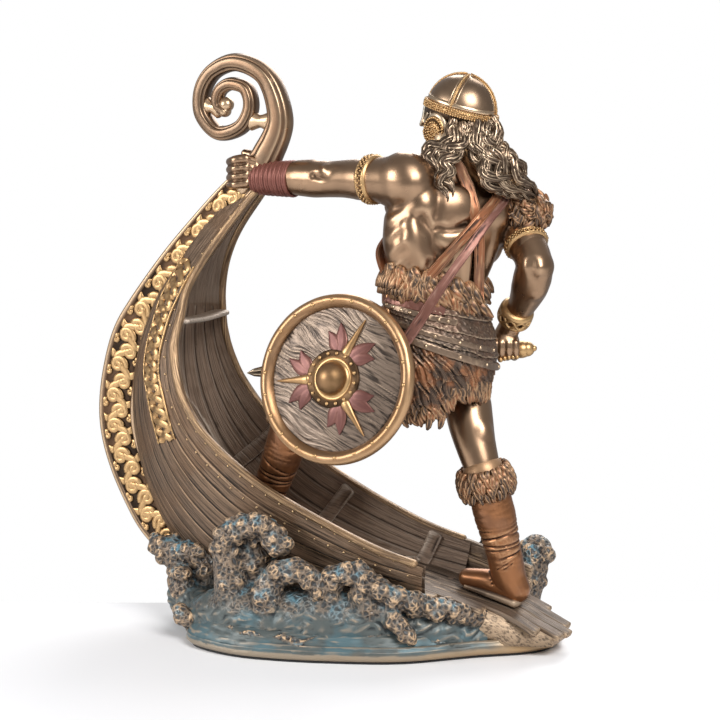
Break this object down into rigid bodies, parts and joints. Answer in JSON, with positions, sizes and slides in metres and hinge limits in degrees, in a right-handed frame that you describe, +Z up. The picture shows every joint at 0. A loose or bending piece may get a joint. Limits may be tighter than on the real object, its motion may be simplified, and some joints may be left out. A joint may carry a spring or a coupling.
{
  "type": "viking warrior statue",
  "caption": "Resin figurine of a Viking warrior seen from behind in a longship's bow: hand on the scroll stem, sword lowered, round shield on the hip, sea base.",
  "frame": {"origin": "on the underside of the felt pad, below the ship's middle", "axes": "+Z up; +X to the right of someone who looks at the warrior's back; +Y away from them; the ship's bow points to -X and a little to +Y"},
  "size_m": [0.2227, 0.1271, 0.2727],
  "materials": {
    "cast_bronze": "cold-cast resin with hand-rubbed antique bronze, brown and blue-green tints",
    "shield_bronze": "cold-cast resin, gold-bronze rim and boss, wood-grain face",
    "dark_felt": "matte dark felt"
  },
  "bodies": {
    "root": {"warrior_and_ship": "cast_bronze", "shield": "shield_bronze", "felt_pad": "dark_felt"}
  },
  "joints": []
}
